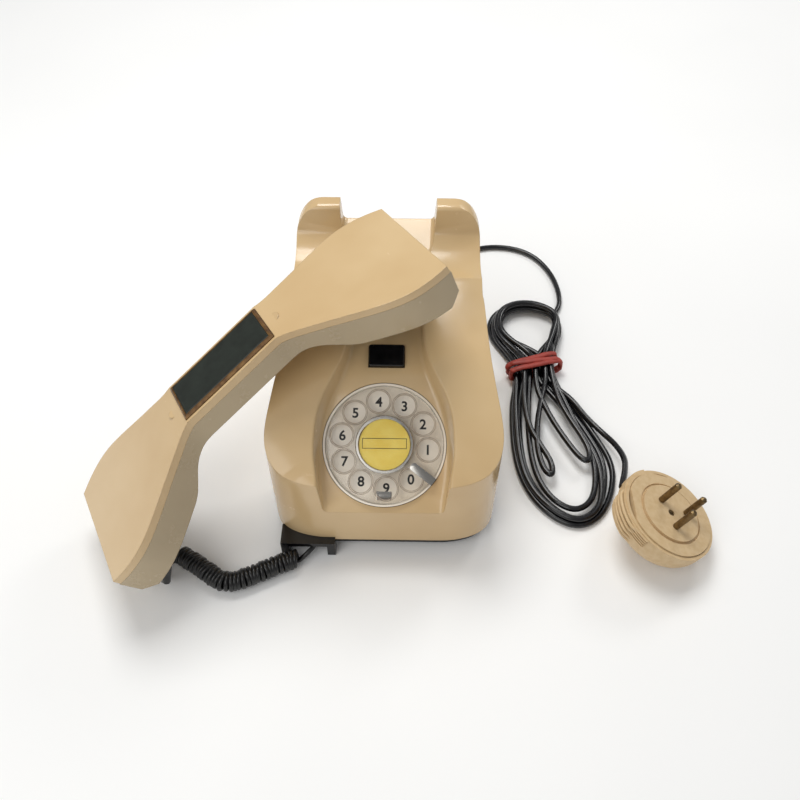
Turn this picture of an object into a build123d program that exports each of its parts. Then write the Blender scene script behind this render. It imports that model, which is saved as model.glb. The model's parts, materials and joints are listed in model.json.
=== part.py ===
from build123d import *
import math
import os

# Rotary desk telephone with its handset off the hook, lying across the casing.
# Frame: origin at the middle of the base on the table, +X to the right of the dial,
# +Y to the back, +Z up. Millimetres.

os.makedirs("parts", exist_ok=True)

# ---------------------------------------------------------------- driving dimensions
WALL = 2.6                  # moulded wall of the casing
SKIRT_Z = 11.0              # lower edge of the casing above the table
FRONT_Y, BACK_Y = -86.0, 86.0
FRONT_HALF, BACK_HALF = 68.5, 58.0
HORN_TOP = 139.0            # top of the two cradle horns
HORN_ROUND = 17.0
DRAFT = 5.0                 # draft of the channel walls, degrees
FLOOR_FILLET = 3.0
LIP_Z = 41.8                # channel floor where it opens through the front
FLOOR_TILT = 36.0           # slope of the channel floor round the dial

DIAL_AT = (0, -54.0, 66.0)  # middle of the finger wheel's top face
DIAL_TILT = 33.0
WHEEL_R = 34.9
WHEEL_T = 2.6
HOLE_R = 6.5
HOLE_PITCH_R = 25.9
HOLE_STEP = 34.9            # degrees between digits
HOLE_FIRST = -6.3           # digit 1, degrees from the dial's +X
STOP_ANGLE = -37.0
PAN_R = 36.5
BORE_R = 36.8
FOOT_T, BASE_TOP = 3.5, 6.0
SCREW_R = 1.5
OUTLET_X = (-63.3, -30.0)   # the cord gate under the front skirt
LINE_EXIT_X, LINE_EXIT_Z = 30.0, 12.2

GEAR_W = 2.4
MAIN_TEETH, PULSE_PINION_TEETH, MAIN_MODULE = 72, 18, 0.6
PULSE_TEETH, GOVERNOR_TEETH, PULSE_MODULE = 40, 16, 0.45
SHAFT_R, PULSE_SHAFT_R, GOVERNOR_SHAFT_R = 2.5, 1.5, 1.2
SHAFT_CLEARANCE = 0.04
PULSE_ANGLE, GOVERNOR_ANGLE = 60.0, 150.0   # directions of the two centre distances
PULSE_AT = (13.5, 23.383)   # 27 mm from the wheel's axis, in the dial's x and y
GOVERNOR_AT = (2.588, 29.683)   # 12.6 mm further
GONG_X = 23.5
SCREW_PLACES = (-38.5, 38.5)
RIBS = 5

HANDSET_AT = (-75.9, -37.1, 96.2)   # middle of the line between the ends of its back
HANDSET_X = (0.7202, 0.4970, 0.4842)  # along the handset, towards the ear end
HANDSET_Z = (-0.4946, -0.1217, 0.8605)  # out of its back
HS_HALF = 126.0             # half of the handset's length
HS_RISE = 28.0              # how far the grip stands above the line of the ends
HS_FLAT = 33.0              # half length of the straight grip
HS_GRIP = 17.0              # half width of the grip
HS_SEAM = 5.0               # height of the upper shell's edge
HS_WALL = 2.4
CAP_X, CAP_R, CAP_T = 88.0, 27.0, 6.0   # ear cap and mouth cap
CAP_LEAN = 17.2             # tilt of the two caps, degrees

CURL_D = 12.5               # outer diameter of the curly cord
CURL_WIRE = 2.9
LINE_D = 4.0
CURL_ROUTE = [
    (-124.5, -95.8, 7), (-110.5, -104, 7), (-94.5, -116.0, 7), (-77, -108.5, 7),
    (-63.5, -101.3, 7), (-53.0, -97.2, 7)]
GATE_TAIL = [(-53.0, -97.2, 7), (-46.6, -93.6, 7.4), (-42.2, -88, 8.0), (-40.6, -81.5, 8.2),
             (-41.6, -74.5, 8.4)]
HANDSET_TAIL = [
    (-124.5, -95.8, 7), (-130.5, -99.6, 4.6), (-134.4, -106.5, 3.4), (-132.8, -113.4, 6.2),
    (-128.6, -116.6, 11.8)]
LINE_ROUTE = [
    (30, 99, LINE_EXIT_Z), (30.1, 108.5, 10.9), (29.6, 119, 6.2), (29.4, 132, 2.6), (32, 152, 2.3),
    (41, 176, 2.3), (56, 194.5, 2.3), (77, 206, 2.3), (101, 205.5, 2.3), (119, 195.5, 2.3),
    (130.5, 176, 2.3), (135.5, 154, 2.3), (134.8, 134, 2.3), (131.6, 117, 2.3)]
HANK_TOP = 15.5
TIE_AT, TIE_TURN = (106.5, 63, 8), 12.0

PLUG_AT = (174.4, -74.7, 27.7)
PLUG_AXIS = (0.388, 0, 0.9217)
PLUG_R, PLUG_DEPTH = 31.0, 24.0
PIN_R, PIN_LENGTH = 2.1, 18.0
PIN_ROOT_R, PIN_ROOT_TOP = 1.6, 1.2
PIN_PLACES = [(-5.8, 7.3), (11.2, 2.1), (0.6, -9.9)]


# ---------------------------------------------------------------- helpers
def save(node, *solids):
    """Write one node, of one solid or of several separate ones."""
    shape = solids[0] if len(solids) == 1 else Compound(children=list(solids))
    export_step(shape, f"parts/{node}.step")


def block(x0, x1, y0, y1, z0, z1):
    return Pos((x0 + x1) / 2, (y0 + y1) / 2, (z0 + z1) / 2) * Box(x1 - x0, y1 - y0, z1 - z0)


def rod(radius, z0, z1, x=0, y=0):
    return Pos(x, y, (z0 + z1) / 2) * Cylinder(radius, z1 - z0)


def side_prism(line, half_width):
    """A closed outline in Y and Z, extruded to both sides along X."""
    return extrude(Plane.YZ * make_face(line), half_width, both=True)


def tangent_radii(points):
    """Arc radii of a cord's route: 0.45 of the shorter run over the tangent of half the turn."""
    radii = []
    for a, b, c in zip(points, points[1:], points[2:]):
        run_in, run_out = Vector(*b) - Vector(*a), Vector(*c) - Vector(*b)
        half_turn = math.radians(run_in.get_angle(run_out)) / 2
        radii.append(0.45 * min(run_in.length, run_out.length) / math.tan(half_turn))
    return radii


def cord_tube(points, diameter, name):
    """A free cord: straight runs joined by tangent arcs, swept by its round section."""
    radii = tangent_radii(points)
    path = FilletPolyline(*points, radius=radii)
    section = Plane(origin=path @ 0, z_dir=path % 0) * Circle(diameter / 2)
    tube = sweep(section, path=path)
    wanted = math.pi * diameter ** 2 / 4 * path.length
    print(f"{name}: length {path.length:.0f}, least radius {min(radii):.1f},"
          f" volume ratio {tube.volume / wanted:.3f}, radii {[round(r) for r in radii]}")
    return tube


def moved_in(points, inset, first, last):
    """An outline's points moved by inset to the left of their way; first and last move as given."""
    moved = [Vector(*points[0]) + Vector(*first) * inset]
    for before, point, after in zip(points, points[1:], points[2:]):
        along = (Vector(*after) - Vector(*before)).normalized()
        moved.append(Vector(*point) + Vector(-along.Y, along.X) * inset)
    return moved + [Vector(*points[-1]) + Vector(*last) * inset]


# ---------------------------------------------------------------- casing
def plan_outline(inset=0.0):
    """The casing seen from above: a narrow back that flares to a broad rounded front."""
    side = [(34, FRONT_Y), (50, -83.7), (60.5, -78.5), (66.6, -70), (FRONT_HALF, -59.5),
            (67.2, -47), (64, -29), (61, -6), (58.7, 21), (BACK_HALF, 48)]
    points = moved_in(side, inset, (0, 1), (-1, 0))
    front, back, half = FRONT_Y + inset, BACK_Y - inset, BACK_HALF - inset
    corner = 12 - inset
    outline = make_face([
        Line((0, front), (34, front)), Spline(*points, tangents=((1, 0), (0, 1))),
        Line((half, 48), (half, back - corner)),
        RadiusArc((half, back - corner), (half - corner, back), -corner),
        Line((half - corner, back), (0, back)), Line((0, back), (0, front))])
    return outline + mirror(outline, about=Plane.YZ)


def rail_profile(drop=0.0):
    """Side view of the two rails: a rising slope, the saddle for the grip, then the horns."""
    slope = Spline((-95, 63.6), (-50, 86.8), (-20, 100), (10, 110), (35, 117.7))
    saddle = ThreePointArc((35, 117.7), (52, 116), (70, 124))
    line = [
        slope, saddle, Line((70, 124), (75.5, 136)),
        ThreePointArc((75.5, 136), (77, 138.2), (79.5, HORN_TOP)),
        Line((79.5, HORN_TOP), (95, HORN_TOP)), Line((95, HORN_TOP), (95, -5)),
        Line((95, -5), (-95, -5)), Line((-95, -5), (-95, 63.6))]
    return Pos(0, 0, -drop) * side_prism(line, 90)


def back_outline(inset=0.0):
    """Seen from behind: the rounded outer corners of the horns."""
    wide, top, reach = FRONT_HALF + 5, HORN_TOP - inset, BACK_HALF - inset
    line = [
        Line((0, -5), (wide, -5)), Line((wide, -5), (wide, top - HORN_ROUND)),
        Line((wide, top - HORN_ROUND), (reach, top - HORN_ROUND)),
        RadiusArc((reach, top - HORN_ROUND), (reach - HORN_ROUND, top), -HORN_ROUND),
        Line((reach - HORN_ROUND, top), (0, top)), Line((0, top), (0, -5))]
    half_face = make_face(line)
    face = half_face + mirror(half_face, about=Plane.YZ)
    return extrude(Plane.XZ * face, 100, both=True)


def channel_outline(grow):
    """The keyhole from above, at the height where its walls' draft starts."""
    right = Spline(
        (34.9 + grow, -86), (36.3 + grow, -72), (36.1 + grow, -59),
        (34.0 + grow, -46.6), (29.4 + grow, -35), (23.0 + grow, -23.5), (18.2 + grow, -12),
        (15.8 + grow, 0), (14.8 + grow, 22), (15.6 + grow, 44), (20.4 + grow, 62),
        (21.5 + grow, 78), tangents=((0, 1), (0, 1)))
    half = make_face([
        Line((0, -95), (34.9 + grow, -95)), Line((34.9 + grow, -95), (34.9 + grow, -86)), right,
        Line((21.5 + grow, 78), (21.5 + grow, 95)),
        Line((21.5 + grow, 95), (0, 95)), Line((0, 95), (0, -95))])
    return half


def channel(grow=0.0):
    """What the keyhole channel takes out: the dial bay, its neck and the gap between the horns."""
    low, high = 36, 146
    spread = (high - low) * math.tan(math.radians(DRAFT))
    half = loft([Pos(0, 0, low) * channel_outline(grow),
                 Pos(0, 0, high) * channel_outline(grow + spread)], ruled=True)
    prism = half + mirror(half, about=Plane.YZ)
    rise = math.tan(math.radians(FLOOR_TILT))
    bend_y = -22.0
    floor_start = (-100, LIP_Z + (-100 - FRONT_Y) * rise)
    floor = FilletPolyline(
        floor_start, (bend_y, LIP_Z + (bend_y - FRONT_Y) * rise), (100, 127.5), radius=70)
    above = make_face([
        floor, Line((100, 127.5), (100, 160)), Line((100, 160), (-100, 160)),
        Line((-100, 160), floor_start)])
    cutter = prism & (Pos(0, 0, -grow) * extrude(Plane.YZ * above, 60, both=True))
    foot = cutter.edges().filter_by(lambda e: _is_floor_side(e, grow))
    return fillet(foot, FLOOR_FILLET) if not grow else cutter


def _is_floor_side(edge, grow):
    """Whether an edge of the channel's cutter runs along the foot of a wall."""
    low, high = edge.bounding_box().min, edge.bounding_box().max
    return high.Z < 130 and high.Y - low.Y > 3 and abs(low.X) > 1


def dial_place(x=0, y=0, z=0):
    """A place on the dial: x across, y up its slope, z out of its face."""
    tilt = math.radians(DIAL_TILT)
    normal = (0, -math.sin(tilt), math.cos(tilt))
    return Plane(origin=DIAL_AT, x_dir=(1, 0, 0), z_dir=normal).location * Pos(x, y, z)


KEY_AT = (0.5, -8.3)
KEY_HALF_X, KEY_HALF_Y = 10.6, 7.0


def key_place(z=0):
    """The key's seat on the channel floor above the dial."""
    tilt = math.radians(18.5)
    return Plane(origin=(KEY_AT[0], KEY_AT[1], 93.6), x_dir=(1, 0, 0),
                 z_dir=(0, -math.sin(tilt), math.cos(tilt))).location * Pos(0, 0, z)


PLUNGER_X, PLUNGER_Y = 8.0, 11.0
BOSSES = [(-50, -58), (50, -58), (-47, 62), (47, 62)]


def _channel_rim(edge):
    """Whether an edge runs along the channel's upper rim."""
    low, high = edge.bounding_box().min, edge.bounding_box().max
    return max(abs(low.X), abs(high.X)) < 41 and edge.length > 120 and low.Z > 60


def casing_solid():
    """The casing's outer form as one solid."""
    body = extrude(plan_outline(), 150) & rail_profile() & back_outline()
    body = (body - channel()) & block(-90, 90, -90, 90, SKIRT_Z, 150)
    return fillet(body.edges().filter_by(_channel_rim), 1.5)


def casing():
    outer = casing_solid()
    hollow = extrude(plan_outline(WALL), 150) & rail_profile(WALL) & back_outline(WALL)
    shell = outer - (hollow - channel(WALL))
    for x, y in BOSSES:
        shell += (rod(4.6, BASE_TOP, 140, x, y) & (extrude(plan_outline(1), 150) & rail_profile(1))) \
            - channel(1)
        shell -= rod(SCREW_R, 0, 30, x, y)
    shell -= dial_place() * rod(BORE_R, -40, 4)
    shell -= key_place() * block(-KEY_HALF_X - 0.3, KEY_HALF_X + 0.3,
                                 -KEY_HALF_Y - 0.3, KEY_HALF_Y + 0.3, -8, 8)
    for x in (-PLUNGER_X, PLUNGER_X):
        shell -= rod(3.0, 88, 112, x, PLUNGER_Y)
    shell -= Pos(LINE_EXIT_X, BACK_Y - 5, LINE_EXIT_Z) * Rot(90, 0, 0) * Cylinder(4.15, 14)
    return shell


def base_plate():
    plate = extrude(Pos(0, 0, FOOT_T) * plan_outline(3.2), BASE_TOP - FOOT_T)
    rim = Pos(0, 0, BASE_TOP) * (plan_outline(3.2) - plan_outline(4.8))
    tray = plate + extrude(rim, 7.5)
    for x, y in BOSSES:
        tray -= rod(SCREW_R + 0.2, 0, 10, x, y)
    tray -= block(LINE_EXIT_X - 6, LINE_EXIT_X + 6, 74, 90, BASE_TOP, 20)
    return tray - block(*OUTLET_X, -95, -76, BASE_TOP, 20)


def foot_ring():
    """A rubber rim under the base, standing in from its edge, with a bar across its middle."""
    outline = plan_outline()
    ring = extrude(scale(outline, by=(0.84, 0.87, 1)) - scale(outline, by=(0.70, 0.76, 1)), FOOT_T)
    ring += block(-48, 48, -7, 7, 0, FOOT_T)
    for x, y in BOSSES:
        ring -= rod(4.2, -1, 5, x, y)
    return ring


def casing_screws():
    return [rod(SCREW_R, FOOT_T, 26, x, y) + rod(3.6, 1.4, FOOT_T, x, y)
            - block(x - 2.8, x + 2.8, y - 0.4, y + 0.4, 0, 2.2) for x, y in BOSSES]


def handset_cord_outlet():
    """The gate under the skirt that the curly cord comes out of: two posts and a roof."""
    x0, x1 = OUTLET_X
    gate = block(x0, x1, -91, -77, 0.4, 13.5) - block(x0 + 5, x1 - 5, -95, -70, -1, 10.2)
    gate -= casing_solid() + extrude(Pos(0, 0, 3) * plan_outline(3.2), 3.2)
    return gate - block(x0 - 1, x1 + 1, -83.2, -70, -1, FOOT_T + 0.1) - foot_ring()


def line_cord_grommet():
    """A tapered strain relief in the back wall, with a collar each side of it."""
    profile = make_face(Polyline(
        (LINE_D / 2, -8), (5.6, -8), (5.6, 0), (4.1, 0), (4.1, 3), (5.4, 3), (5.4, 4.8),
        (3.9, 6), (2.9, 16), (LINE_D / 2, 16), close=True))
    sleeve = revolve(Plane.XZ * profile, Axis.Z)
    return Pos(LINE_EXIT_X, BACK_Y - 3, LINE_EXIT_Z) * Rot(-90, 0, 0) * sleeve


# ---------------------------------------------------------------- key and hook
def recall_key():
    """A black push key in the channel floor above the dial, on a stem."""
    cap = block(-KEY_HALF_X, KEY_HALF_X, -KEY_HALF_Y, KEY_HALF_Y, -2.2, 1.6)
    cap = fillet(cap.edges().filter_by(Axis.Z), 1.2)
    cap = fillet(cap.faces().sort_by(Axis.Z)[-1].edges(), 0.6)
    return key_place() * (cap + rod(2.0, -12, -2.2))


def recall_key_spring():
    return key_place() * coils(3.4, 0.5, -7.4, -3.4, 4)


def recall_key_switch():
    """A bracket under the key that guides its stem and holds the contacts."""
    plate = block(-9, 9, -5, 5, -10, -8) - rod(2.05, -20, 0)
    walls = block(-9, -7.6, -5, 5, -16, -10) + block(7.6, 9, -5, 5, -16, -10)
    return key_place() * (plate + walls)


def hook_plungers():
    """Two pins in the saddle, joined by a bar inside the casing."""
    bar = block(-PLUNGER_X - 4, PLUNGER_X + 4, PLUNGER_Y - 3, PLUNGER_Y + 3, 84, 87)
    for x in (-PLUNGER_X, PLUNGER_X):
        bar += fillet((rod(2.9, 87, 104.5, x, PLUNGER_Y)).edges().sort_by(Axis.Z)[-1], 1.2)
    return bar + rod(1.6, 70, 84, 0, PLUNGER_Y)


def hook_spring():
    return Pos(0, PLUNGER_Y, 0) * coils(2.8, 0.5, 74.6, 83.6, 6)


def hook_switch_contacts():
    """The bracket that guides the hook bar's stem, with its contact leaves."""
    plate = block(-12, 12, PLUNGER_Y - 6, PLUNGER_Y + 6, 71.8, 74.2)
    plate -= rod(1.65, 65, 80, 0, PLUNGER_Y)
    for x in (-12, 9.6):
        plate += block(x, x + 2.4, PLUNGER_Y - 6, PLUNGER_Y + 6, 60, 71.8)
    for x in (-6, 5.4):
        plate += block(x, x + 0.6, PLUNGER_Y - 2, PLUNGER_Y + 2, 58, 71.8)
    return plate


def coils(radius, wire, low, high, count):
    """A compression spring drawn as its separate turns."""
    pitch = (high - low - 2 * wire) / (count - 1)
    return Compound(children=[
        Pos(0, 0, low + wire + pitch * i) * Torus(radius, wire) for i in range(count)])


# ---------------------------------------------------------------- dial
def gear(teeth, module, width, bore, first=0.0, hub=0.0):
    """A spur gear of straight-flanked teeth, thinned for backlash."""
    pitch, root, tip = teeth * module / 2, teeth * module / 2 - 1.15 * module, \
        teeth * module / 2 + 0.82 * module
    step = 360 / teeth
    thin = math.degrees(0.12 / pitch)
    widths = [(root, 0.34 * step - thin), (pitch, 0.25 * step - thin / 2), (tip, 0.12 * step)]
    points = []
    for i in range(teeth):
        middle = first + i * step
        for radius, half in widths:
            points.append(polar(radius, middle - half))
        for radius, half in reversed(widths):
            points.append(polar(radius, middle + half))
    wheel = extrude(make_face(Polyline(*points, close=True)), width)
    if hub:
        wheel += rod(hub, 0, width + 1.6)
    return wheel - rod(bore, -1, width + 4)


def polar(radius, degrees):
    return (radius * math.cos(math.radians(degrees)), radius * math.sin(math.radians(degrees)))


def dial_pan():
    """The cup that holds the number plate and the wheel, in the casing's bore."""
    cup = rod(PAN_R, -8, -0.5) - rod(PAN_R - 1.2, -6.6, 2) - rod(9, -10, 0)
    return dial_place() * cup


def number_plate():
    return dial_place() * (rod(PAN_R - 1.5, -6.6, -5.4) - rod(9, -8, 0))


def finger_wheel():
    """The clear wheel with its ten holes and their raised rims."""
    wheel = rod(WHEEL_R, -WHEEL_T, 0)
    wheel = fillet(wheel.edges(), 0.8)
    wheel += rod(7.5, -4.9, -WHEEL_T)
    for i in range(10):
        x, y = polar(HOLE_PITCH_R, HOLE_FIRST + HOLE_STEP * i)
        wheel += rod(HOLE_R + 0.9, -WHEEL_T, 0.5, x, y)
    for i in range(10):
        x, y = polar(HOLE_PITCH_R, HOLE_FIRST + HOLE_STEP * i)
        wheel -= rod(HOLE_R, -5, 3, x, y)
    return dial_place() * (wheel - rod(SHAFT_R, -6, 1))


def wheel_hub_ring():
    ring = rod(17.2, 0, 2.0) - rod(15.2, -1, 3)
    return dial_place() * chamfer(ring.edges().group_by(Axis.Z)[-1], 0.4)


def number_card():
    return dial_place() * rod(15.1, 0, 0.5)


def card_cover():
    cover = rod(15.1, 0.5, 1.7)
    return dial_place() * fillet(cover.edges().group_by(Axis.Z)[-1], 0.6)


def finger_stop():
    """The bent metal finger that ends each turn, standing on the pan's edge."""
    arm = block(19.8, 36.4, -2.4, 2.4, 1.5, 2.7)
    arm = fillet(arm.edges().filter_by(Axis.Z).sort_by(Axis.X)[:2], 1.8)
    arm += block(35.5, 36.2, -2.4, 2.4, -0.5, 1.5)
    return dial_place() * Rot(0, 0, STOP_ANGLE) * arm


def dial_latch():
    """A small spring tab on the number plate at the foot of the dial."""
    tab = block(-4.5, 4.5, -32.5, -27.5, -5.4, -4.6) + block(-4.5, -3.5, -32.5, -27.5, -4.6, -3.4)
    return dial_place() * tab


def dial_frame_plate():
    """The front plate of the movement, with three ears up to the casing's floor."""
    plate = rod(33, -10, -8)
    for x, y, radius in ((0, 0, SHAFT_R), (*PULSE_AT, PULSE_SHAFT_R), (*GOVERNOR_AT, GOVERNOR_SHAFT_R)):
        plate -= rod(radius + SHAFT_CLEARANCE, -12, 0, x, y)
    return dial_place() * plate


def dial_pillars():
    return [dial_place() * rod(2.4, -28, -10, *polar(28, angle)) for angle in (0, 120, 240)]


def dial_back_plate():
    plate = rod(33, -30, -28)
    for x, y, radius in ((0, 0, SHAFT_R), (*PULSE_AT, PULSE_SHAFT_R), (*GOVERNOR_AT, GOVERNOR_SHAFT_R)):
        plate -= rod(radius + SHAFT_CLEARANCE, -40, 0, x, y)
    return dial_place() * (plate - block(-14, 14, -40, -22, -40, 0))


def main_shaft():
    return dial_place() * rod(SHAFT_R, -31, 0)


def main_gear():
    wheel = gear(MAIN_TEETH, MAIN_MODULE, GEAR_W, SHAFT_R, first=PULSE_ANGLE, hub=4.5)
    return dial_place(0, 0, -15.2) * wheel


def return_spring():
    return dial_place() * coils(5.6, 0.6, -27.6, -17.6, 7)


def pulse_wheel():
    """The pinion and the larger wheel on one staff."""
    half_tooth = 180 / PULSE_PINION_TEETH
    pinion = gear(PULSE_PINION_TEETH, MAIN_MODULE, GEAR_W, 1.0,
                  first=PULSE_ANGLE + 180 + half_tooth)
    wheel = gear(PULSE_TEETH, PULSE_MODULE, GEAR_W, 1.0, first=GOVERNOR_ANGLE)
    staff = rod(PULSE_SHAFT_R, -29.6, -8.2) + rod(2.6, -17.6, -15.2)
    return dial_place(*PULSE_AT) * (Pos(0, 0, -15.2) * pinion + Pos(0, 0, -20) * wheel + staff)


def governor_rotor():
    """The pinion's staff with the two weights that rub inside the drum."""
    half_tooth = 180 / GOVERNOR_TEETH
    pinion = gear(GOVERNOR_TEETH, PULSE_MODULE, GEAR_W, 0.8,
                  first=GOVERNOR_ANGLE + 180 + half_tooth)
    staff = rod(GOVERNOR_SHAFT_R, -29.6, -8.2)
    weights = rod(6.1, -26.5, -22) & block(-6.2, 6.2, -2.6, 2.6, -27, -21)
    return dial_place(*GOVERNOR_AT) * (Pos(0, 0, -20) * pinion + staff + weights)


def governor_drum():
    return dial_place(*GOVERNOR_AT) * (rod(8.0, -28, -21.5) - rod(6.6, -29, -21))


def pulse_contacts():
    """The insulated block with the two leaves that the pulses open and close."""
    stack = block(-8, 8, -30.5, -25.2, -17.5, -10)
    for y in (-29.6, -27.0):
        stack += block(-7, 7, y, y + 0.5, -26, -17.5)
    return dial_place() * stack


# ---------------------------------------------------------------- ringer and line parts
def bell_gong(side):
    """One brass gong, an open bowl on its post."""
    bowl = revolve(Plane.XZ * make_face(Polyline(
        (0, 0), (17.5, -3), (20, -12), (18.8, -12), (16.5, -4.2), (0, -1.3), close=True)), Axis.Z)
    post = rod(1.8, BASE_TOP - 25, -1.2)
    return Pos(side * GONG_X, 0, 25) * (bowl + post)


def bell_bracket():
    """The bracket between the gongs that holds the coils and the clapper's pin."""
    bracket = block(-16, 16, 22, 24, BASE_TOP, 44)
    bracket += block(-16, 16, 24, 34, BASE_TOP, BASE_TOP + 2)
    return bracket + Pos(0, 12, 38) * Rot(90, 0, 0) * Cylinder(1.2, 20)


def ringer_coils():
    """Two coils side by side on the bracket's back, each with its cheeks."""
    pair = []
    for x in (-8.2, 8.2):
        coil = Pos(x, 31, 30) * Rot(90, 0, 0) * Cylinder(6.4, 14)
        for y in (25, 37):
            coil += Pos(x, y, 30) * Rot(90, 0, 0) * Cylinder(8.0, 2)
        pair.append(coil)
    return pair


def bell_clapper():
    """The arm that swings on the bracket's pin and strikes the gongs with its ball."""
    hub = Pos(0, 5, 38) * Rot(90, 0, 0) * (Cylinder(3.2, 4) - Cylinder(1.24, 6))
    return hub + block(-0.8, 0.8, 3.5, 6.5, 19, 35.5) + Pos(0, 5, 17) * Sphere(2.6)


def induction_coil():
    core = block(-41, -17, 46, 66, BASE_TOP, 9) + block(-39, -19, 50, 62, 9, 25)
    return core + block(-41, -37, 48, 64, 9, 27) + block(-21, -17, 48, 64, 9, 27)


def capacitor():
    return fillet(block(-13, 13, 46, 70, BASE_TOP, 28).edges().filter_by(Axis.Z), 2)


def terminal_board():
    board = block(20, 42, 34, 54, BASE_TOP, 12)
    for x in (24.5, 31, 37.5):
        for y in (38.5, 49.5):
            board += rod(1.8, 12, 14.2, x, y)
    return board


# ---------------------------------------------------------------- handset
def handset_place():
    return Plane(origin=HANDSET_AT, x_dir=HANDSET_X, z_dir=HANDSET_Z).location


def handset_plan(inset=0.0):
    """The handset seen from its back: a narrow grip between two broad, blunt ends."""
    edge = [(30, HS_GRIP), (47, 21.5), (61, 27.5), (80, 36), (92, 40.3), (103, 42), (115, 41),
            (HS_HALF, 38)]
    points = moved_in(edge, -inset, (0, 1), (1, 0.72))
    end = HS_HALF - inset
    quarter = make_face([
        Line((0, 0), (0, HS_GRIP - inset)), Line((0, HS_GRIP - inset), points[0]),
        Spline(*points, tangents=((1, 0), (0.95, -0.31))),
        Line(points[-1], (end, 0)), Line((end, 0), (0, 0))])
    half = quarter + mirror(quarter, about=Plane.XZ)
    return half + mirror(half, about=Plane.YZ)


def handset_side(inset=0.0, drop=0.0):
    """The handset seen from the side, as a face in X and Z, from the line drop below its back."""
    right = make_face(Polyline(
        (0, HS_RISE - drop), (HS_FLAT, HS_RISE - drop), (HS_HALF, -drop), (HS_HALF - 3, -18.5),
        (114, -22.6), (62, -6.5), (44, 9.5), (0, 9.5), close=True))
    bends = [v for v in right.vertices() if 40 < v.X < 70]
    right = fillet(bends, 24)
    whole = right + mirror(right, about=Plane.YZ)
    return offset(whole, -inset, kind=Kind.INTERSECTION) if inset else whole


def handset_solid(inset=0.0, drop=0.0):
    side = extrude(Plane.XZ * handset_side(inset, drop), 60, both=True)
    return extrude(Pos(0, 0, -40) * handset_plan(inset), 90) & side


def cap_place(end, z=0.0):
    """The seat of the ear cap (end 1) or of the mouth cap (end -1), z out of the housing."""
    lean = math.radians(CAP_LEAN)
    outward = (-end * math.sin(lean), 0, -math.cos(lean))
    seat_z = -6.5 - (CAP_X - 62) * math.tan(lean)
    return Plane(origin=(end * CAP_X, 0, seat_z), x_dir=(0, 1, 0), z_dir=outward).location * \
        Pos(0, 0, z)


def handset_upper_shell():
    band = handset_solid() - handset_solid(drop=HS_SEAM)
    shell = band - handset_solid(HS_WALL)
    shell -= block(-33.2, 33.2, -15.2, 15.2, 27, 30)
    for x in SCREW_PLACES:
        shell += rod(3.4, 16, 26.2, x, 0) - rod(SCREW_R, 0, 24, x, 0)
    return handset_place() * shell


def handset_lower_shell():
    shell = handset_solid(drop=HS_SEAM) - handset_solid(HS_WALL)
    for end in (1, -1):
        shell -= cap_place(end) * rod(CAP_R - 3, -5, 3)
    for x in SCREW_PLACES:
        shell -= rod(3.0, 5, 10.6, x, 0) + rod(SCREW_R + 0.1, 5, 15, x, 0)
    return handset_place() * shell


def grip_inlay_frame():
    frame = block(-33, 33, -15, 15, 27, 29.4)
    frame = chamfer(frame.faces().sort_by(Axis.Z)[-1].edges(), 1.0)
    return handset_place() * (frame - block(-31, 31, -13, 13, 28, 31))


def grip_inlay():
    plate = block(-30.9, 30.9, -12.9, 12.9, 28, 29.6)
    return handset_place() * chamfer(plate.faces().sort_by(Axis.Z)[-1].edges(), 0.4)


def handset_cap(end):
    """A screwed cap: a dished disc with a ring of small holes, and a thread inside the housing."""
    cap = fillet(rod(CAP_R, 0, CAP_T).edges().group_by(Axis.Z)[-1], 2.4)
    cap -= rod(CAP_R - 4.5, -1, CAP_T - 2.2)
    cap += rod(CAP_R - 3.1, -2.2, 0.5) - rod(CAP_R - 4.5, -3, 1)
    for ring, count in ((6, 6), (12, 12)):
        for i in range(count):
            cap -= rod(1.0, 0, CAP_T + 2, *polar(ring, 360 * i / count))
    return handset_place() * cap_place(end) * (cap - rod(1.0, 0, CAP_T + 2))


def capsule(end, radius, depth):
    """The round unit behind a cap, with the stepped rim it is held by."""
    body = rod(radius, -depth, 0) + rod(radius - 5, 0, 1.6)
    return handset_place() * cap_place(end, -2.4) * body


def handset_screws():
    return [handset_place() * (rod(SCREW_R, 10.6, 23.5, x, 0) + rod(2.8, 8.8, 10.6, x, 0)
                               - block(x - 2.2, x + 2.2, -0.4, 0.4, 8, 9.5)) for x in SCREW_PLACES]


# ---------------------------------------------------------------- cords
def handset_strain_relief():
    """A tapered sleeve from the mouth cap's edge to the cord."""
    last_run = (Vector(*HANDSET_TAIL[-1]) - Vector(*HANDSET_TAIL[-2])).normalized()
    end = Vector(*HANDSET_TAIL[-1]) + last_run * 2.0
    root = Vector(*(handset_place() * Pos(-108, -30, -26)).position)
    away = (end - root).normalized()
    sleeve = loft([Plane(origin=root, z_dir=away) * Circle(3.6),
                   Plane(origin=end, z_dir=away) * Circle(2.2)])
    keep_out = handset_place() * (handset_solid() + cap_place(-1) * rod(CAP_R + 0.2, -8, CAP_T + 0.2))
    return sleeve - keep_out


def handset_cord_coil():
    return cord_tube(CURL_ROUTE, CURL_D, "handset_cord_coil")


def line_cord_hank():
    """The outer shape of the tied hank, with the eye of its great loop."""
    outline = make_face(Spline(
        (73, 102), (80, 127), (100, 135), (124, 127), (134, 106), (132, 80), (127, 60),
        (137, 36), (149, 4), (157, -18), (154, -36), (141, -52), (134, -69), (118, -72),
        (101, -60), (90, -42), (85.5, -18), (87, 12), (90, 45), (84, 65), (76, 84),
        periodic=True))
    eye = make_face(Spline(
        (107, -38), (112, -50), (122, -53), (132, -44), (138, -30), (138, -14), (128, -22),
        (116, -24), (108, -22), periodic=True))
    hank = extrude(Pos(0, 0, 0.4) * (outline - eye), HANK_TOP - 0.4)
    return (hank - tie_block(0)) + tie_block(2.0)


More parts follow.
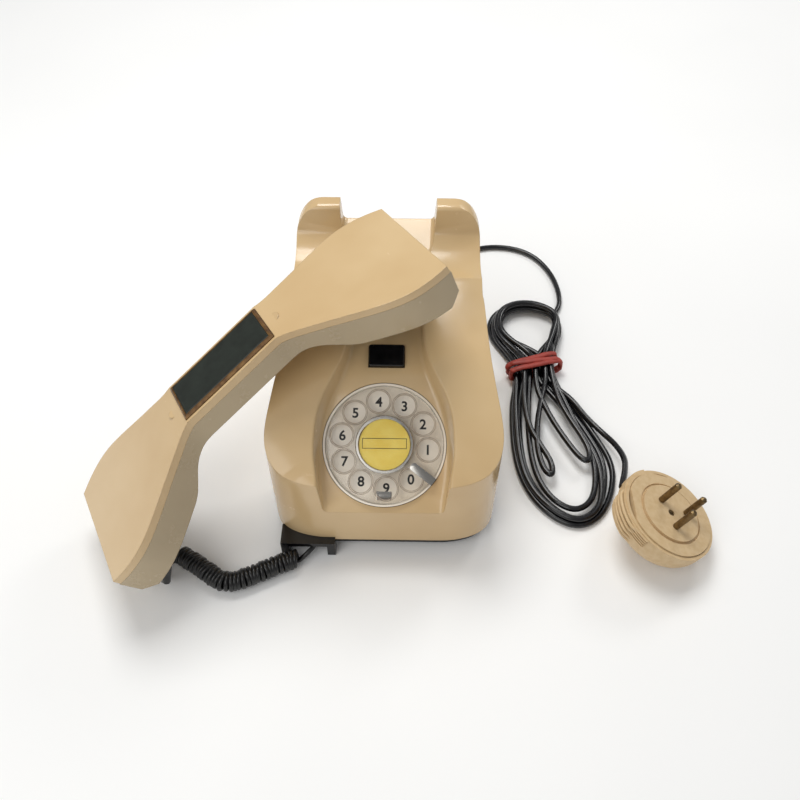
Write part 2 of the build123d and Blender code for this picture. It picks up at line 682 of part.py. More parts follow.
def tie_block(inset):
    half_x, half_y, half_z = 21 - inset, 6, 8 - inset
    if inset:
        half_y += 0.01
    return Pos(*TIE_AT) * Rot(0, 0, TIE_TURN) * Box(2 * half_x, 2 * half_y, 2 * half_z)


def cord_tie():
    return fillet(tie_block(0).edges().filter_by(lambda e: e.length < 12.1), 3) - tie_block(2.0)


# ---------------------------------------------------------------- plug
def plug_place():
    return Plane(origin=PLUG_AT, x_dir=(PLUG_AXIS[2], 0, -PLUG_AXIS[0]), z_dir=PLUG_AXIS).location


def plug_cap():
    """The domed cap, with grip ribs round the side that the cord enters."""
    profile = make_face([
        Line((0, -PLUG_DEPTH), (14, -PLUG_DEPTH)),
        ThreePointArc((14, -PLUG_DEPTH), (26, -19), (PLUG_R, -8)),
        Line((PLUG_R, -8), (PLUG_R, -1)), Line((PLUG_R, -1), (PLUG_R - 2, -1)),
        Line((PLUG_R - 2, -1), (PLUG_R - 2, -8)),
        ThreePointArc((PLUG_R - 2, -8), (24.4, -17.4), (14, -PLUG_DEPTH + 2.2)),
        Line((14, -PLUG_DEPTH + 2.2), (0, -PLUG_DEPTH + 2.2)),
        Line((0, -PLUG_DEPTH + 2.2), (0, -PLUG_DEPTH))])
    cap = revolve(Plane.XZ * profile, Axis.Z)
    for i in range(RIBS):
        rib = rod(PLUG_R + 1.2, -8.2 + i * 1.5, -7.5 + i * 1.5) - rod(PLUG_R - 0.5, -30, 5)
        cap += rib & block(-40, -12, -24, 30, -30, 5)
    return plug_place() * (cap - Pos(-26, 16, -10) * Sphere(3.2))


def plug_face():
    """The pin carrier: a disc with two flats, a raised middle and a groove round it."""
    face = rod(PLUG_R - 2.3, -4, 0) & block(-26.5, 40, -40, 27.5, -5, 5)
    face += rod(19.5, 0, 0.9)
    face -= rod(21, -1, 3) - rod(19.5, -2, 4)
    for x, y in PIN_PLACES:
        face -= rod(PIN_ROOT_R, -6, 3, x, y)
    return plug_place() * (face - rod(2.2, -6, 3))


def plug_pins():
    pins = []
    for x, y in PIN_PLACES:
        pin = rod(PIN_R, PIN_ROOT_TOP, 0.9 + PIN_LENGTH, x, y) + rod(PIN_ROOT_R, -7, PIN_ROOT_TOP, x, y)
        pins.append(plug_place() * chamfer(pin.edges().group_by(Axis.Z)[-1], 1.0))
    return pins


def plug_screw():
    screw = rod(2.2, -9, 0.4) - block(-2.4, 2.4, -0.35, 0.35, -0.5, 1)
    return plug_place() * screw


# ---------------------------------------------------------------- export
def main():
    save("casing", casing())
    save("base_plate", base_plate())
    save("foot_ring", foot_ring())
    save("casing_screws", *casing_screws())
    save("handset_cord_outlet", handset_cord_outlet())
    save("line_cord_grommet", line_cord_grommet())
    save("recall_key", recall_key())
    save("recall_key_spring", recall_key_spring())
    save("recall_key_switch", recall_key_switch())
    save("hook_plungers", hook_plungers())
    save("hook_spring", hook_spring())
    save("hook_switch_contacts", hook_switch_contacts())
    save("dial_pan", dial_pan())
    save("number_plate", number_plate())
    save("finger_wheel", finger_wheel())
    save("wheel_hub_ring", wheel_hub_ring())
    save("number_card", number_card())
    save("card_cover", card_cover())
    save("finger_stop", finger_stop())
    save("dial_latch", dial_latch())
    save("dial_frame_plate", dial_frame_plate())
    save("dial_pillars", *dial_pillars())
    save("dial_back_plate", dial_back_plate())
    save("main_shaft", main_shaft())
    save("main_gear", main_gear())
    save("return_spring", return_spring())
    save("pulse_wheel", pulse_wheel())
    save("governor_rotor", governor_rotor())
    save("governor_drum", governor_drum())
    save("pulse_contacts", pulse_contacts())
    save("bell_gong_left", bell_gong(-1))
    save("bell_gong_right", bell_gong(1))
    save("bell_bracket", bell_bracket())
    save("ringer_coils", *ringer_coils())
    save("bell_clapper", bell_clapper())
    save("induction_coil", induction_coil())
    save("capacitor", capacitor())
    save("terminal_board", terminal_board())
    save("handset_upper_shell", handset_upper_shell())
    save("handset_lower_shell", handset_lower_shell())
    save("grip_inlay_frame", grip_inlay_frame())
    save("grip_inlay", grip_inlay())
    save("ear_cap", handset_cap(1))
    save("mouth_cap", handset_cap(-1))
    save("receiver_capsule", capsule(1, 22.5, 9))
    save("microphone_capsule", capsule(-1, 21.5, 8))
    save("handset_screws", *handset_screws())
    save("handset_strain_relief", handset_strain_relief())
    save("handset_cord_coil", handset_cord_coil())
    save("handset_cord_tail", cord_tube(HANDSET_TAIL, CURL_WIRE, "handset_cord_tail"))
    save("gate_cord_tail", cord_tube(GATE_TAIL, CURL_WIRE, "gate_cord_tail"))
    save("line_cord", cord_tube(LINE_ROUTE, LINE_D, "line_cord"))
    save("line_cord_hank", line_cord_hank())
    save("cord_tie", cord_tie())
    save("plug_cap", plug_cap())
    save("plug_face", plug_face())
    save("plug_pins", *plug_pins())
    save("plug_screw", plug_screw())


if __name__ == "__main__":
    main()
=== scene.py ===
import bpy
import json
import math
from mathutils import Matrix, Vector

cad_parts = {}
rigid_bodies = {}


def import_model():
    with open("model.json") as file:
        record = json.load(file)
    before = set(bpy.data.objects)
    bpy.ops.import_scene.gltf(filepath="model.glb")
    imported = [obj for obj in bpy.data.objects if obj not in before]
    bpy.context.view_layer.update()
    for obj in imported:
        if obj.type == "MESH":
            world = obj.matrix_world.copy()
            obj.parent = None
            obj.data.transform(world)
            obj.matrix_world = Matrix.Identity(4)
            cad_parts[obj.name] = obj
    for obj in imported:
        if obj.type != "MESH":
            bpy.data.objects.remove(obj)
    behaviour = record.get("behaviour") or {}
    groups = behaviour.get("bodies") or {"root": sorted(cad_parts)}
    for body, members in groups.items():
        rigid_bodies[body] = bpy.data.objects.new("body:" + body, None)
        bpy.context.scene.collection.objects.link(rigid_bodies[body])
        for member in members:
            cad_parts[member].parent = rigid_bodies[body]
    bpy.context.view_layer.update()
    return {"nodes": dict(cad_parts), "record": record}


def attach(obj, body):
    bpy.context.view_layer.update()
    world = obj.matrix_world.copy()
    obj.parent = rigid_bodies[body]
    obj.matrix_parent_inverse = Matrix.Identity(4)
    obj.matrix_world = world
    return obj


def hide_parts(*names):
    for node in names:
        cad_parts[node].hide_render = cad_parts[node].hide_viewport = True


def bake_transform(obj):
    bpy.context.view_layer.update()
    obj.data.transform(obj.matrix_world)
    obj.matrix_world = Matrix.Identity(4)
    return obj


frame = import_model()
NODES = frame["nodes"]
MM = 0.001


# ---------------------------------------------------------------- places taken from the design
# The cords' sizes and routes, the dial's place and finger holes, and the plug's place.
LINE_D, WIRE_D, CURL_D = 4.0, 2.9, 12.5
LINE_EXIT = (30, 99, 12.2)
LINE_ROUTE = [
    LINE_EXIT, (30.1, 108.5, 10.9), (29.6, 119, 6.2), (29.4, 132, 2.6), (32, 152, 2.3),
    (41, 176, 2.3), (56, 194.5, 2.3), (77, 206, 2.3), (101, 205.5, 2.3), (119, 195.5, 2.3),
    (130.5, 176, 2.3), (135.5, 154, 2.3), (134.8, 134, 2.3), (131.6, 117, 2.3)]
CURL_ROUTE = [
    (-124.5, -95.8, 7), (-110.5, -104, 7), (-94.5, -116.0, 7), (-77, -108.5, 7),
    (-63.5, -101.3, 7), (-53.0, -97.2, 7)]
GATE_TAIL = [(-46.6, -93.6, 7.4), (-42.2, -88, 8.0), (-40.6, -81.5, 8.2), (-41.6, -74.5, 8.4)]
HANDSET_TAIL = [
    (-128.6, -116.6, 11.8), (-132.8, -113.4, 6.2), (-134.4, -106.5, 3.4), (-130.5, -99.6, 4.6)]
CURL_TURNS = 34

DIAL_AT = Vector((0, -54.0, 66.0))
DIAL_TILT = math.radians(33.0)
HOLE_PITCH_R, HOLE_FIRST, HOLE_STEP = 25.9, -6.3, 34.9
PLATE_Z = -5.4      # face of the number plate below the wheel's top

PLUG_AT = Vector((174.4, -74.7, 27.7))
PLUG_AXIS = Vector((0.388, 0, 0.9217)).normalized()


def placing(origin, x_dir, z_dir):
    """A matrix from a part's own millimetres to the frame's metres."""
    z = Vector(z_dir).normalized()
    x = (Vector(x_dir) - z * z.dot(Vector(x_dir))).normalized()
    turn = Matrix((x, z.cross(x), z)).transposed().to_4x4()
    return Matrix.Translation(Vector(origin) * MM) @ turn @ Matrix.Scale(MM, 4)


DIAL = placing(DIAL_AT, (1, 0, 0), (0, -math.sin(DIAL_TILT), math.cos(DIAL_TILT)))
PLUG = placing(PLUG_AT, (PLUG_AXIS.z, 0, -PLUG_AXIS.x), PLUG_AXIS)


# ---------------------------------------------------------------- camera
def make_camera():
    """Above and in front of the dial, looking down at 50 degrees."""
    elevation, azimuth, roll = (math.radians(d) for d in (50.0, 0.4, 0.4))
    back = Vector((math.sin(azimuth) * math.cos(elevation),
                   -math.cos(azimuth) * math.cos(elevation), math.sin(elevation)))
    right = Vector((math.cos(azimuth), math.sin(azimuth), 0))
    up = back.cross(right)
    turned_right = right * math.cos(roll) + up * math.sin(roll)
    turned_up = up * math.cos(roll) - right * math.sin(roll)
    data = bpy.data.cameras.new("camera")
    data.lens, data.sensor_width = 36.61, 36.0
    camera = bpy.data.objects.new("camera", data)
    camera.matrix_world = Matrix.Translation((0.0110, -0.3423, 0.4507)) @ \
        Matrix((turned_right, turned_up, back)).transposed().to_4x4()
    bpy.context.scene.collection.objects.link(camera)
    bpy.context.scene.camera = camera


# ---------------------------------------------------------------- cords
def smooth_cord(name, points, diameter, resolution=6):
    """A round cord on one smooth line, with the points in millimetres as its control points."""
    curve = bpy.data.curves.new(name, "CURVE")
    curve.dimensions = "3D"
    curve.bevel_depth = diameter / 2 * MM
    curve.bevel_resolution = 4
    curve.resolution_u = resolution
    curve.use_fill_caps = True
    spline = curve.splines.new("NURBS")
    spline.points.add(len(points) - 1)
    for target, point in zip(spline.points, points):
        target.co = (*(Vector(point) * MM), 1)
    spline.order_u = 3
    spline.use_endpoint_u = True
    piece = bpy.data.objects.new(name, curve)
    bpy.context.scene.collection.objects.link(piece)
    return piece


def tube_along(name, route, diameter, resolution):
    """A cord's mesh on the smooth line of its route, and the places that the line passes."""
    curve = smooth_cord("cord_line", route, diameter, resolution=resolution)
    centre = smooth_cord("cord_centre", route, 0, resolution=resolution)
    path = [v.co.copy() for v in bpy.data.meshes.new_from_object(centre).vertices]
    cord = bpy.data.objects.new(name, bpy.data.meshes.new_from_object(curve))
    bpy.context.scene.collection.objects.link(cord)
    bpy.data.objects.remove(curve)
    bpy.data.objects.remove(centre)
    for face in cord.data.polygons:
        face.use_smooth = True
    return cord, path


def line_of(points):
    """The smooth line through a route, as a list of places in millimetres."""
    guide = smooth_cord("guide", points, 0, resolution=24)
    mesh = bpy.data.meshes.new_from_object(guide)
    line = [v.co / MM for v in mesh.vertices]
    bpy.data.objects.remove(guide)
    bpy.data.meshes.remove(mesh)
    return line


def at_length(line, steps):
    """Places and directions at equal lengths along a line."""
    lengths = [0.0]
    for a, b in zip(line, line[1:]):
        lengths.append(lengths[-1] + (b - a).length)
    places = []
    i = 0
    for step in range(steps + 1):
        wanted = lengths[-1] * step / steps
        while i < len(line) - 2 and lengths[i + 1] < wanted:
            i += 1
        share = (wanted - lengths[i]) / (lengths[i + 1] - lengths[i])
        places.append((line[i].lerp(line[i + 1], share), (line[i + 1] - line[i]).normalized()))
    return places


def curly_cord():
    """The handset's cord: a tail from the strain relief, the helix, and a tail into the gate."""
    per_turn = 12
    radius = (CURL_D - WIRE_D) / 2
    helix = []
    for i, (place, along) in enumerate(at_length(line_of(CURL_ROUTE), CURL_TURNS * per_turn)):
        side = along.cross(Vector((0, 0, 1))).normalized()
        rise = side.cross(along)
        angle = 2 * math.pi * i / per_turn - math.pi / 2
        turn = i // per_turn
        swell = 1 + 0.05 * math.sin(turn * 2.4) + 0.03 * math.sin(turn * 5.1)
        lean = 0.9 * math.sin(turn * 1.3) * math.cos(angle)
        helix.append(place + (side * math.cos(angle) + rise * math.sin(angle)) * radius * swell
                     + along * lean)
    helix = [Vector((p.x, p.y, max(p.z, WIRE_D / 2 + 0.2))) for p in helix]
    cord, path = tube_along("curly_cord", HANDSET_TAIL + helix + GATE_TAIL, WIRE_D, 3)
    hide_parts("handset_cord_coil", "handset_cord_tail", "gate_cord_tail")
    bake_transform(cord)
    return cord


TIE_AT, TIE_TURN = Vector((106.5, 63, 8)), math.radians(12.0)
# Each turn of the hank: its place across the tie on the way down and on the way up (-1 to 1),
# its layer there, how far its upper bend reaches, and the points of its lower bend.
HANK_TURNS = [
    (-0.82, 0.62, 0, 1.00, [(88, 28), (86.5, -14), (92.5, -43), (107, -63), (124, -70.5), (139, -62),
                            (149, -43), (153, -20), (143, 6), (131, 34)]),
    (-0.52, 0.30, 0, 0.86, [(93, 28), (91, -14), (96.5, -40), (110, -58.5), (124, -65.5), (137, -57.5),
                            (144.5, -40), (147, -18), (138.5, 6), (126.5, 34)]),
    (-0.80, 0.05, 1, 0.93, [(90, 26), (89, -16), (94, -42), (108.5, -61), (123.5, -68), (136.5, -60.5),
                            (142, -43), (142.5, -20), (134, 4), (121, 32)]),
    (-0.20, 0.78, 1, 0.72, [(99, 26), (97, -10), (100, -36), (109, -53), (122, -60.5), (133.5, -53),
                            (138.5, -37), (139.5, -17), (132, 8), (125, 36)]),
    (-0.45, 0.45, 2, 0.80, [(96, 30), (97.5, 6), (104, -10), (110.5, -25), (109.5, -36), (104, -30),
                            (101.5, -12), (103.5, 8), (108, 28), (112, 42)]),
    (0.05, 0.72, 2, 0.62, [(107, 36), (113.5, 14), (121, -4), (128.5, -19), (134.5, -24), (137, -16),
                           (133.5, -3), (127, 12), (121.5, 28), (119.5, 42)]),
    (0.62, 0.95, 1, 0.55, [(123.5, 42)])]
FIRST_BEND = [(127, 122), (116, 131), (98, 133), (81, 124), (74.5, 102)]
PLUG_LEAD = [(131, 31, 8), (138.5, 18, 6), (147.5, 6, 5), (155.5, -9, 9), (157.5, -26, 16),
             (153, -42, 23), (149.6, -50.5, 26.5), (147.6, -56.4, 28.0)]


def tie_place(across, layer):
    """A strand's place inside the tie."""
    offset = Vector((16.5 * across, 0, 0))
    offset.rotate(Matrix.Rotation(TIE_TURN, 3, "Z"))
    return Vector((TIE_AT.x + offset.x, TIE_AT.y + offset.y, 4.2 + 4.0 * layer))


def hank_points():
    """The turns of the tied hank, one after another, from the upper right to the plug's lead."""
    points = []
    for turn, (down, up, layer, reach, lower) in enumerate(HANK_TURNS):
        level = 2.4 + 3.4 * layer
        if turn == 0:
            crown = FIRST_BEND
        else:
            short = 1 - reach
            crown = [(132 - 21 * short, 96), (130, 112 + 8 * reach), (116, 119 + 13 * reach),
                     (98, 120 + 13 * reach), (82 + 8 * short, 112 + 10 * reach),
                     (77 + 16 * short, 96)]
        points += [(x, y, level + 1.5 * (turn % 2)) for x, y in crown]
        entry, leaving = tie_place(down, layer), tie_place(up, layer)
        points += [(entry.x - 4 - 2 * down, entry.y + 13, level + 1), tuple(entry),
                   (entry.x - 1, entry.y - 14, level + 1)]
        points += [(x, y, level) for x, y in lower]
        if turn < len(HANK_TURNS) - 1:
            points += [(leaving.x + 0.5, leaving.y - 12, level + 1), tuple(leaving),
                       (leaving.x + 3, leaving.y + 13, level + 1)]
    return points


def line_cord():
    """The line cord: out of the grommet, round behind the body, through its hank to the plug."""
    route = LINE_ROUTE[:-1] + hank_points() + PLUG_LEAD
    cord, path = tube_along("line_cord_strand", route, LINE_D, 6)
    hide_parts("line_cord", "line_cord_hank")
    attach(cord, "root")
    return cord


# ---------------------------------------------------------------- materials
def colour(hex_code):
    """An sRGB hex colour as the linear values that a socket takes."""
    def linear(value):
        return value / 12.92 if value <= 0.04045 else ((value + 0.055) / 1.055) ** 2.4
    return (*(linear(int(hex_code[i:i + 2], 16) / 255) for i in (1, 3, 5)), 1)


def add(material, kind, links=None, tones=(), **settings):
    """Adds a node; settings name its properties or sockets, links name its sockets' sources,
    and tones are the two ends of a colour ramp: places and colours."""
    node = material.node_tree.nodes.new(kind)
    for name, value in settings.items():
        if hasattr(node, name):
            setattr(node, name, value)
        else:
            node.inputs[name.replace("_", " ")].default_value = value
    for name, source in (links or {}).items():
        material.node_tree.links.new(source, node.inputs[name])
    for i, (place, tone) in enumerate(tones):
        node.color_ramp.elements[i].position = place
        node.color_ramp.elements[i].color = tone
    return node


def new_material(name, **sockets):
    """A material with one Principled shader, its constant sockets set, and object coordinates."""
    material = bpy.data.materials.new(name)
    material.use_nodes = True
    shader = material.node_tree.nodes["Principled BSDF"]
    for socket, value in sockets.items():
        shader.inputs[socket.replace("_", " ")].default_value = value
    where = add(material, "ShaderNodeTexCoord").outputs["Object"]
    return material, shader, where


def link(material, source, socket):
    material.node_tree.links.new(source, socket)


def moulded_abs(name, base, aged, roughness, edge=0.0):
    """Glossy moulded ABS: an even colour with slow yellowing, fine scuffs and a soft orange peel."""
    material, shader, where = new_material(name, IOR=1.52, Coat_Weight=0.25, Coat_Roughness=0.08)
    patches = add(material, "ShaderNodeTexNoise", {"Vector": where}, Scale=14.0, Detail=3.0)
    tone = add(material, "ShaderNodeValToRGB", {"Fac": patches.outputs["Fac"]},
               tones=[(0.38, colour(base)), (0.72, colour(aged))])
    specks = add(material, "ShaderNodeTexNoise", {"Vector": where}, Scale=900.0, Detail=2.0)
    dirt = add(material, "ShaderNodeValToRGB", {"Fac": specks.outputs["Fac"]},
               tones=[(0.7, (1, 1, 1, 1)), (0.82, (0.88, 0.85, 0.8, 1))])
    mix = add(material, "ShaderNodeMix", data_type="RGBA", blend_type="MULTIPLY")
    mix.inputs[0].default_value = 0.35
    link(material, tone.outputs["Color"], mix.inputs[6])
    link(material, dirt.outputs["Color"], mix.inputs[7])
    link(material, mix.outputs[2], shader.inputs["Base Color"])
    scuffs = add(material, "ShaderNodeTexNoise", {"Vector": where}, Scale=60.0, Detail=6.0, Roughness=0.7)
    spread = add(material, "ShaderNodeMapRange", {"Value": scuffs.outputs["Fac"]},
                 To_Min=roughness, To_Max=roughness + 0.14)
    spread.inputs["From Min"].default_value = 0.4
    spread.inputs["From Max"].default_value = 0.75
    link(material, spread.outputs["Result"], shader.inputs["Roughness"])
    peel = add(material, "ShaderNodeTexNoise", {"Vector": where}, Scale=220.0, Detail=1.0)
    bump = add(material, "ShaderNodeBump", {"Height": peel.outputs["Fac"]}, Strength=0.06, Distance=0.0002)
    if edge:
        rounded = add(material, "ShaderNodeBevel", Radius=edge)
        link(material, rounded.outputs["Normal"], bump.inputs["Normal"])
    link(material, bump.outputs["Normal"], shader.inputs["Normal"])
    return material


def plain(name, base, other, scale, roughness, **sockets):
    """A finish of two close tones in a fine pattern, with the same pattern in its roughness."""
    bump_strength = sockets.pop("bump", 0.1)
    material, shader, where = new_material(name, **sockets)
    grain = add(material, "ShaderNodeTexNoise", {"Vector": where}, Scale=scale, Detail=4.0)
    tone = add(material, "ShaderNodeValToRGB", {"Fac": grain.outputs["Fac"]},
               tones=[(0.35, colour(base)), (0.65, colour(other))])
    link(material, tone.outputs["Color"], shader.inputs["Base Color"])
    spread = add(material, "ShaderNodeMapRange", {"Value": grain.outputs["Fac"]},
                 To_Min=roughness * 0.8, To_Max=min(1.0, roughness * 1.3))
    link(material, spread.outputs["Result"], shader.inputs["Roughness"])
    bump = add(material, "ShaderNodeBump", {"Height": grain.outputs["Fac"]},
               Strength=bump_strength, Distance=0.0002)
    link(material, bump.outputs["Normal"], shader.inputs["Normal"])
    return material


def make_materials():
    """Every finish, by the name of the record's slot."""
    m = {}
    # Injection-moulded ABS from a polished mould: even, glossy beige, yellowed a little with age.
    m["casing_plastic"] = moulded_abs("gloss_abs_beige", "#D6B98C", "#CBAB7C", 0.16, edge=0.0008)
    # The same ABS where hands have greyed it: duller and less yellow than the casing.
    m["handset_grey_beige"] = moulded_abs("gloss_abs_greyed", "#B8A584", "#A99676", 0.2, edge=0.0008)
    # Black polypropylene with a fine mould texture: satin, almost no colour.
    m["base_black"] = plain("satin_black_base", "#0E0E0F", "#18181A", 300, 0.45)
    # Vulcanised black rubber: matte, with no highlight.
    m["foot_rubber"] = plain("matte_rubber", "#101011", "#1B1B1C", 500, 0.8)
    # Turned and nickelled steel: bright, with fine lathe marks that blur its highlights.
    m["screw_steel"] = plain("turned_steel", "#9A9A98", "#B4B4B2", 400, 0.3, Metallic=1.0)
    # Moulded black phenolic: deep black with a sharp highlight.
    m["black_plastic"] = plain("black_phenolic", "#08080A", "#121214", 250, 0.22, bump=0.05)
    # Soft black PVC of the curly cord: satin highlights along each turn.
    m["cord_black"] = plain("satin_black_pvc", "#0A0A0B", "#151516", 400, 0.3, IOR=1.52, bump=0.04)
    # Extruded black PVC: smooth and glossy, one clear line of light along each strand.
    m["line_cord_black"] = plain("gloss_black_pvc", "#08080B", "#101015", 300, 0.2, IOR=1.54, bump=0.015)
    # Drawn spring wire: grey metal with a narrow highlight.
    m["spring_steel"] = plain("spring_wire", "#8E8E8C", "#A5A5A3", 600, 0.3, Metallic=1.0)
    # Pressed sheet steel, zinc plated: pale and slightly yellow, softly blurred.
    m["bracket_steel"] = plain("zinc_plated_sheet", "#A6A698", "#BDBDB0", 150, 0.35, Metallic=1.0)
    # Moulded cream plastic of the number plate: clean, light and even.
    m["dial_cream"] = moulded_abs("gloss_cream_plastic", "#F6EDDF", "#EFE2CE", 0.22)
    # Cast clear acrylic: the plate shows through it, warmer where it is thick.
    m["wheel_clear"] = clear_acrylic("clear_acrylic_wheel", "#FDF9F2", 0.02, alpha=0.5)
    # Thin clear acrylic over the card: all but unseen.
    m["cover_clear"] = clear_acrylic("clear_cover", "#FBF6E4", 0.02, alpha=0.04)
    # Printed yellow card: matte, with paper's faint mottling.
    m["card_yellow"] = plain("yellow_card", "#FBE070", "#F6D660", 120, 0.6)
    # Polished chrome plate: mirror bright, greyed by fine wear.
    m["chrome_trim"] = plain("polished_chrome", "#A5A29D", "#B9B6B1", 80, 0.16, Metallic=1.0, bump=0.03)
    # Machined brass: yellow metal with fine cutter marks.
    m["gear_brass"] = plain("machined_brass", "#B08D45", "#C6A459", 300, 0.3, Metallic=1.0)
    # Spun and polished brass: smooth yellow metal.
    m["gong_brass"] = plain("polished_gong_brass", "#B89450", "#CBAA66", 60, 0.22, Metallic=1.0)
    # Varnished cloth tape: brown, satin, with a woven grain.
    m["coil_wrap"] = plain("varnished_tape", "#5A3414", "#6E4420", 400, 0.5)
    # Drawn aluminium can: pale grey, softly streaked.
    m["can_aluminium"] = plain("drawn_aluminium", "#B7B8BA", "#CBCCCE", 200, 0.35, Metallic=1.0)
    # Bronze paint on the inlay's frame: brown, worn and uneven along its bevels.
    m["inlay_bronze"] = plain("worn_bronze_paint", "#7C5A2E", "#56391B", 260, 0.42, Metallic=0.35, bump=0.3)
    # Painted metal insert: satin black with a green cast.
    m["inlay_black"] = plain("satin_green_black", "#10170F", "#1A221A", 180, 0.38)
    # Vulcanised red rubber: dull red, slightly powdery.
    m["tie_red"] = plain("red_rubber_band", "#8E2F25", "#A23A2E", 160, 0.5, bump=0.3)
    # Compression-moulded thermoset: matte beige, mottled by age.
    m["plug_beige"] = plain("aged_matte_thermoset", "#D3B88F", "#CBAE83", 260, 0.5, bump=0.2)
    # Brass pins gone brown with use: dull metal with brighter rubbed patches.
    m["pin_brass"] = plain("tarnished_brass", "#6B5A42", "#8C7653", 300, 0.4, Metallic=1.0, bump=0.2)
    # The moulded lips where the acrylic turns: painted shade, a darker tone standing in for the light that
    # the turning acrylic sends sideways.
    m["acrylic_lip"] = plain("acrylic_lip", "#A8937F", "#C9B7A4", 150, 0.1, IOR=1.49, Alpha=0.75, bump=0.0)
    # Screen-printed black ink: flat and dense.
    m["printed_black"] = plain("printed_black_ink", "#15120F", "#211C18", 400, 0.5)
    return m


def clear_acrylic(name, tint, roughness, alpha=1.0):
    """Clear acrylic: light passes through with a faint warm tint and sharp edges' glints."""
    material, shader, where = new_material(
        name, Base_Color=colour(tint), IOR=1.49, Transmission_Weight=0.93, Alpha=alpha)
    haze = add(material, "ShaderNodeTexNoise", {"Vector": where}, Scale=80.0, Detail=5.0)
    spread = add(material, "ShaderNodeMapRange", {"Value": haze.outputs["Fac"]},
                 To_Min=roughness, To_Max=roughness + 0.05)
    link(material, spread.outputs["Result"], shader.inputs["Roughness"])
    return material


# ---------------------------------------------------------------- mesh pieces
def only(piece):
    """Selects one piece and makes it active."""
    if bpy.context.mode != "OBJECT":
        bpy.ops.object.mode_set(mode="OBJECT")
    bpy.ops.object.select_all(action="DESELECT")
    piece.select_set(True)
    bpy.context.view_layer.objects.active = piece


def settle(piece, place):
    """Puts a piece's place into its mesh, so that its object sits at the origin."""
    piece.data.transform(place)
    piece.matrix_world = Matrix.Identity(4)


def finish_piece(piece, name, slot, body, smooth=35.0):
    piece.name = name
    piece.data.materials.clear()
    piece.data.materials.append(MATERIALS[slot])
    only(piece)
    bpy.ops.object.shade_smooth_by_angle(angle=math.radians(smooth))
    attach(piece, body)
    return piece


def copy_of(node, name):
    """A loose copy of a CAD node's mesh, merged into a closed skin."""
    source = NODES[node]
    piece = bpy.data.objects.new(name, source.data.copy())
    bpy.context.scene.collection.objects.link(piece)
    only(piece)
    bpy.ops.object.mode_set(mode="EDIT")
    bpy.ops.mesh.select_all(action="SELECT")
    bpy.ops.mesh.remove_doubles(threshold=0.00001)
    bpy.ops.mesh.customdata_custom_splitnormals_clear()
    bpy.ops.object.mode_set(mode="OBJECT")
    return piece


def sharp_edges(piece, degrees, wanted):
    """The edges turned by more than the angle whose two ends are both wanted places."""
    mesh = piece.data
    faces = {}
    for polygon in mesh.polygons:
        for key in polygon.edge_keys:
            faces.setdefault(key, []).append(polygon.normal)
    found = []
    for edge in mesh.edges:
        normals = faces.get(tuple(sorted(edge.vertices)), [])
        if len(normals) == 2 and normals[0].angle(normals[1], 0) > math.radians(degrees):
            if all(wanted(mesh.vertices[i].co / MM) for i in edge.vertices):
                found.append(edge.index)
    return found


def round_edges(piece, edges, width, segments=3):
    """Rounds the given edges with a weighted bevel."""
    weights = piece.data.attributes.new("bevel_weight_edge", "FLOAT", "EDGE")
    for i in edges:
        weights.data[i].value = 1.0
    bevel = piece.modifiers.new("rounding", "BEVEL")
    bevel.limit_method = "WEIGHT"
    bevel.width = width * MM
    bevel.segments = segments
    bevel.use_clamp_overlap = True
    only(piece)
    bpy.ops.object.modifier_apply(modifier=bevel.name)


def digits():
    """The ten digits on the number plate, one under each hole."""
    for i, digit in enumerate("1234567890"):
        angle = math.radians(HOLE_FIRST + HOLE_STEP * i)
        bpy.ops.object.text_add(location=(0, 0, 0))
        text = bpy.context.object
        text.data.body = digit
        text.data.size = 8.2
        text.data.offset = 0.2
        text.data.extrude = 0.05
        text.data.align_x, text.data.align_y = "CENTER", "CENTER"
        only(text)
        bpy.ops.object.convert(target="MESH")
        text = bpy.context.object
        place = DIAL @ Matrix.Translation(
            (HOLE_PITCH_R * math.cos(angle), HOLE_PITCH_R * math.sin(angle), PLATE_Z + 0.06))
        settle(text, place)
        finish_piece(text, f"digit_{digit}", "printed_black", "root")


def card_lines():
    """The empty writing box printed across the card, as a thin rectangle."""
    bpy.ops.object.select_all(action="DESELECT")
    bpy.ops.mesh.primitive_plane_add(size=1)
    box = bpy.context.object
    box.data.transform(Matrix.Diagonal((26.4, 6.2, 1, 1)))
    only(box)
    bpy.ops.object.mode_set(mode="EDIT")
    bpy.ops.mesh.select_all(action="SELECT")
    bpy.ops.mesh.inset(thickness=0.35)
    bpy.ops.mesh.delete(type="FACE")
    bpy.ops.mesh.select_all(action="SELECT")
    bpy.ops.mesh.extrude_region_move(TRANSFORM_OT_translate={"value": (0, 0, 0.04)})
    bpy.ops.mesh.select_all(action="SELECT")
    bpy.ops.mesh.normals_make_consistent(inside=False)
    bpy.ops.object.mode_set(mode="OBJECT")
    settle(box, DIAL @ Matrix.Translation((0, 0.6, 0.5)))
    finish_piece(box, "card_writing_box", "printed_black", "finger_wheel")


def hole_rims():
    """The moulded lips of the ten finger holes: two fine rings at each, where the acrylic turns."""
    rings = []
    for i in range(10):
        angle = math.radians(HOLE_FIRST + HOLE_STEP * i)
        centre = (HOLE_PITCH_R * math.cos(angle), HOLE_PITCH_R * math.sin(angle))
        for radius, height in ((6.6, 0.45), (7.35, 0.3)):
            bpy.ops.object.select_all(action="DESELECT")
            bpy.ops.mesh.primitive_torus_add(major_segments=56, minor_segments=8,
                                             major_radius=radius, minor_radius=0.2)
            ring = bpy.context.object
            settle(ring, DIAL @ Matrix.Translation((*centre, height)))
            rings.append(ring)
    only(rings[0])
    for ring in rings:
        ring.select_set(True)
    bpy.ops.object.join()
    # The lips carry painted shade: their darker tone stands in for the acrylic's refraction.
    return finish_piece(rings[0], "finger_hole_lips", "acrylic_lip", "finger_wheel")


